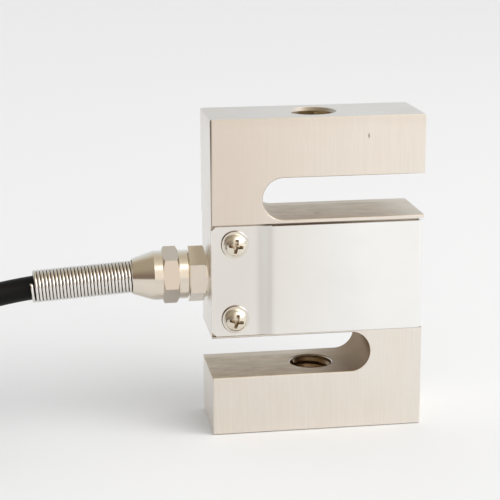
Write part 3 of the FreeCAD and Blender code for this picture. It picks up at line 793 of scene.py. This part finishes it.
def make_spring():
    """The close wound spring, its last half turn opened a little."""
    shape = bmesh.new()
    ring = bmesh.ops.create_circle(shape, cap_ends=True, segments=12, radius=WIRE_R * MM)["verts"]
    bmesh.ops.rotate(shape, verts=ring, cent=(0, 0, 0), matrix=Matrix.Rotation(math.pi / 2, 3, "X"))
    bmesh.ops.translate(shape, verts=ring, vec=(-COIL_R * MM, 0, COIL_FOOT * MM))
    section = [*ring, *shape.edges, *shape.faces]
    section = wind(shape, section, COIL_TURNS, PITCH, COIL_STEPS)
    wind(shape, section, LAST_TURN, PITCH + LAST_OPENING, COIL_STEPS)
    bmesh.ops.recalc_face_normals(shape, faces=shape.faces)
    lean = Matrix.Rotation(-math.pi / 2 - DROOP, 4, "Y")
    place = Matrix.Translation([value * MM for value in COIL_START])
    bmesh.ops.transform(shape, matrix=place @ lean, verts=shape.verts)
    for face in shape.faces:
        face.smooth = len(face.verts) == 4
    spring = add_piece("spring_coils", shape, FINISHES["spring"])
    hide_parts("spring_relief")


make_spring()


# --- Floor, world and lamps -----------------------------------------------------------------------

FLOOR_LEFT = -0.1               # the shades that metal mirrors of the floor begin at this X
FLOOR_SPREAD = 7.0              # and run over a seventh of a metre
FLOOR_SHADES = [
    (0.14, (0.82, 0.80, 0.78)), (0.5, (0.755, 0.725, 0.69)),
    (0.67, (0.845, 0.83, 0.815)), (0.8, (0.91, 0.92, 0.92)),
]
FAR = 0.4472                    # the painted reflections of the floor turn to far shades this far from the cell
# Shades of the studio by height above the level, where 1 is overhead.
BACK_SHADES = [
    (0.2, (0.85, 0.92, 0.99)), (0.55, (0.69, 0.69, 0.645)),
    (0.8, (0.64, 0.58, 0.47)), (1.0, (0.65, 0.60, 0.48)),
]
FRONT_SHADES = [
    (0.48, (1.06, 0.98, 0.88)), (0.64, (0.885, 0.83, 0.705)),
    (0.8, (0.78, 0.725, 0.60)), (1.0, (0.66, 0.61, 0.49)),
]
ROOM_SHADES = [
    (0.0, (0.235, 0.18, 0.142)), (0.155, (0.26, 0.204, 0.153)),
    (0.32, (0.375, 0.32, 0.244)), (0.49, (0.44, 0.39, 0.294)), (1.0, (0.46, 0.41, 0.315)),
]


def floor_shades(net, place):
    """Painted reflections of the floor, which only bright metal mirrors: dark on the far left and
    warm in front.
    """
    x, y, _ = net.apart(place)
    along = net.calc("SUBTRACT", net.added(y, 0.2, x), FLOOR_LEFT)
    mirrored = net.ramp(net.times(along, FLOOR_SPREAD), FLOOR_SHADES)
    near = net.times(net.ease(y, -0.14, -0.03), 0.5)
    mirrored = net.blend(near, mirrored, (0.90, 0.91, 0.90))
    mirrored = net.blend(net.ease(y, 0.0, 0.12), mirrored, (0.88, 0.89, 0.90))
    away = net.calc("GREATER_THAN", net.length(net.scaled(place, (1.0, 1.0, 0.0))), FAR)
    left = net.ease(x, -0.25, -0.1, 1.0, 0.0)
    far = net.blend(left, (0.98, 0.92, 0.84), (0.23, 0.175, 0.135))
    front = net.ease(y, 0.0, 0.2, 1.0, 0.0)
    return net.blend(net.times(away, front), mirrored, far)


def make_floor():
    mesh = bpy.data.meshes.new("floor")
    shape = bmesh.new()
    bmesh.ops.create_grid(shape, x_segments=1, y_segments=1, size=4.0)
    bmesh.ops.translate(shape, verts=shape.verts, vec=(0, 0, -0.0001))
    shape.to_mesh(mesh)
    shape.free()
    material, net, shader, place = finish_of(
        "floor_paper", (0.87, 0.87, 0.87), 0.0, 0.9, Specular_IOR_Level=0.1
    )
    glossy = net.node("LightPath").outputs["Is Glossy Ray"]
    shades = floor_shades(net, place)
    # the camera and diffuse light see a plain floor; glossy rays see the painted reflections
    net.feed(shader["Base Color"], net.blend(glossy, (0.85, 0.85, 0.848), shades))
    mesh.materials.append(material)
    floor = bpy.data.objects.new("floor", mesh)
    SCENE.collection.objects.link(floor)


def light_world():
    """Plain light, and a studio that only the bright metal mirrors."""
    world = bpy.data.worlds.new("studio")
    SCENE.world = world
    world.use_nodes = True
    net = Net(world.node_tree)
    x, y, z = net.apart(net.node("TexCoord").outputs["Generated"])
    height = net.times(net.calc("ARCSINE", z), 2.0 / math.pi)
    back = net.ramp(height, BACK_SHADES)
    front = net.ramp(height, FRONT_SHADES)
    front = net.blend(net.ease(x, 0.7, 0.85), front, (0.84, 0.87, 0.89))
    studio = net.blend(net.ease(y, -0.12, 0.12), front, back)
    left = net.times(net.ease(x, -0.3, -0.05, 1.0, 0.0), net.ease(y, 0.15, 0.65, 1.0, 0.0))
    studio = net.blend(left, studio, net.ramp(height, ROOM_SHADES))
    glossy = net.node("LightPath").outputs["Is Glossy Ray"]
    background = world.node_tree.nodes["Background"].inputs
    net.feed(background["Color"], net.blend(glossy, (0.75, 0.752, 0.755), studio))
    background["Strength"].default_value = 1.0


def add_lamp(data, place, way):
    """A lamp at a place, whose light comes from the way given."""
    lamp = bpy.data.objects.new(data.name, data)
    lamp.location = place
    lamp.rotation_euler = Vector(way).to_track_quat("Z", "Y").to_euler()
    SCENE.collection.objects.link(lamp)


def soft_sun():
    data = bpy.data.lights.new("soft_sun", "SUN")
    data.angle = math.radians(60.0)
    data.energy = 1.05
    add_lamp(data, (0.0, 0.0, 0.0), (0.78, -0.74, 0.85))


def right_softbox():
    data = bpy.data.lights.new("right_softbox", "AREA")
    data.shape = "SQUARE"
    data.size = 0.5
    data.energy = 2.35
    data.color = (1.0, 0.99, 0.97)
    place = Vector((0.75, -0.35, 0.55))
    aim = Vector((0.0, 0.0, 0.03))
    add_lamp(data, place, place - aim)


make_floor()
light_world()
soft_sun()
right_softbox()
